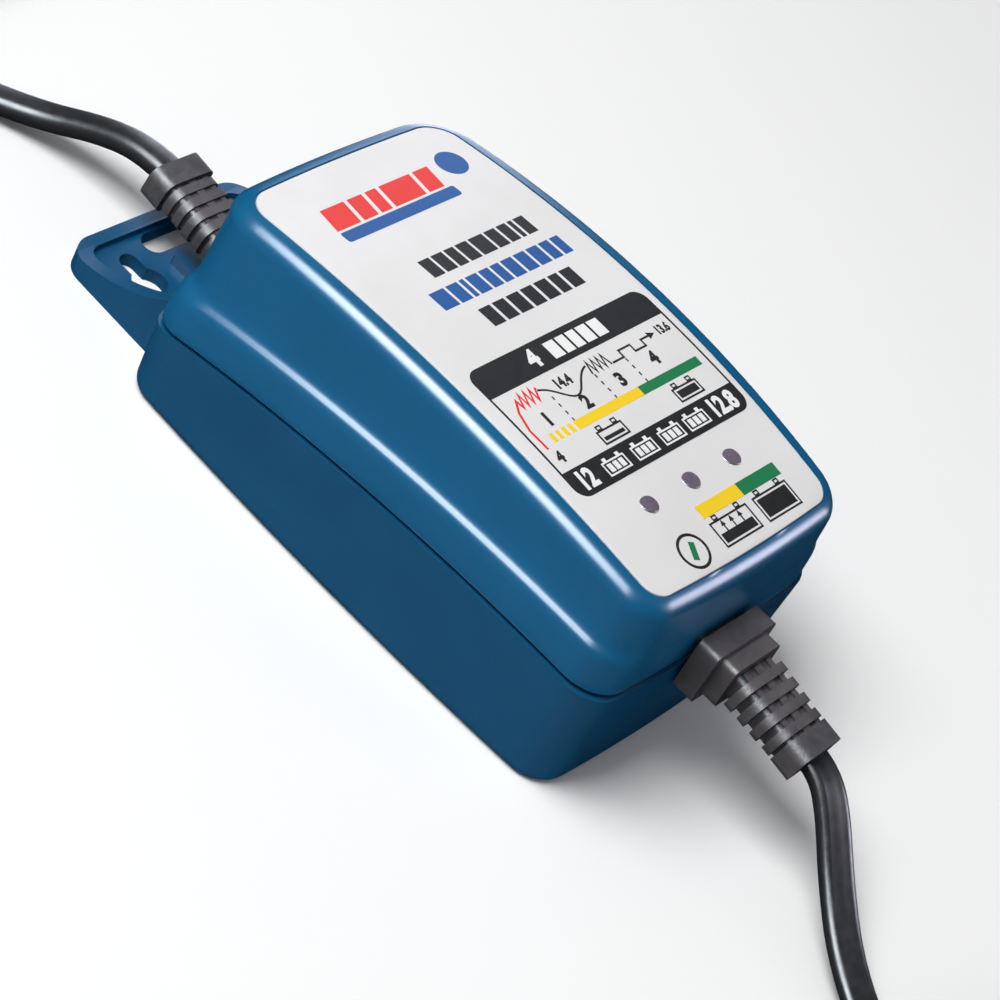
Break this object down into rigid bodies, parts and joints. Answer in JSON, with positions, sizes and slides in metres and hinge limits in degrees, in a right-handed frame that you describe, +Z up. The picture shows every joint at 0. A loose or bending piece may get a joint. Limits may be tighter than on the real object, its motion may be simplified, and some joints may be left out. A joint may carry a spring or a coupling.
{
  "type": "car battery charger",
  "caption": "Compact moulded car battery charger with wall bracket, status lights, mains lead with plug and output lead with capped connector, both leads coiled.",
  "frame": {"origin": "centre of the case's flat base", "axes": "+X is the width, +Y points to the mains lead and bracket end, -Y to the output lead and lights end, +Z up from the base"},
  "size_m": [0.075, 0.4144, 0.0434],
  "materials": {
    "case_plastic": "moulded, satin gloss",
    "seal_rubber": "soft",
    "label_film": "printed film",
    "plate_film": "blank film",
    "steel": "zinc plated",
    "light_window": "smoked, diffuse",
    "black_rubber": "satin PVC",
    "tie_plastic": "woven strap",
    "pin_metal": "nickel plated",
    "cap_rubber": "soft",
    "board": "solder mask",
    "glass_fuse": "clear glass with metal caps",
    "yellow_box": "moulded box",
    "copper_winding": "enamelled copper",
    "chip_plastic": "moulded epoxy",
    "capacitor_sleeve": "shrink sleeve",
    "ferrite": "sintered",
    "winding_tape": "polyester tape",
    "heatsink_alloy": "bare",
    "lamp_plastic": "clear epoxy",
    "wire_insulation": "PVC",
    "wire_insulation_red": "PVC"
  },
  "bodies": {
    "charger": {"bottom_shell": "case_plastic", "top_shell": "case_plastic", "case_seal": "seal_rubber", "face_label": "label_film", "rating_plate": "plate_film", "case_screws": "steel", "light_pipes": "light_window", "mains_sleeve": "black_rubber", "mains_cord": "black_rubber", "mains_coil": "black_rubber", "mains_tie": "tie_plastic", "mains_tail": "black_rubber", "plug_body": "black_rubber", "plug_pins": "pin_metal", "output_sleeve": "black_rubber", "output_cord": "black_rubber", "output_coil": "black_rubber", "output_tie": "tie_plastic", "output_tail": "black_rubber", "connector_body": "black_rubber", "connector_contacts": "pin_metal", "circuit_board": "board", "mains_fuse": "glass_fuse", "suppression_capacitor": "yellow_box", "mains_choke": "copper_winding", "bridge_rectifier": "chip_plastic", "bulk_capacitor": "capacitor_sleeve", "transformer_core": "ferrite", "transformer_winding": "winding_tape", "switching_transistor": "chip_plastic", "output_diode": "chip_plastic", "diode_heatsink": "heatsink_alloy", "output_capacitors": "capacitor_sleeve", "optocoupler": "chip_plastic", "controller_chip": "chip_plastic", "status_lights": "lamp_plastic", "mains_wires": "wire_insulation", "output_wires": "wire_insulation_red"},
    "dust_cap": {"dust_cap": "cap_rubber"}
  },
  "joints": [
    {"name": "dust_cap_slide", "type": "slide", "parent": "charger", "child": "dust_cap", "axis": [0, -1, 0], "range_m": [0, 0.018]}
  ]
}
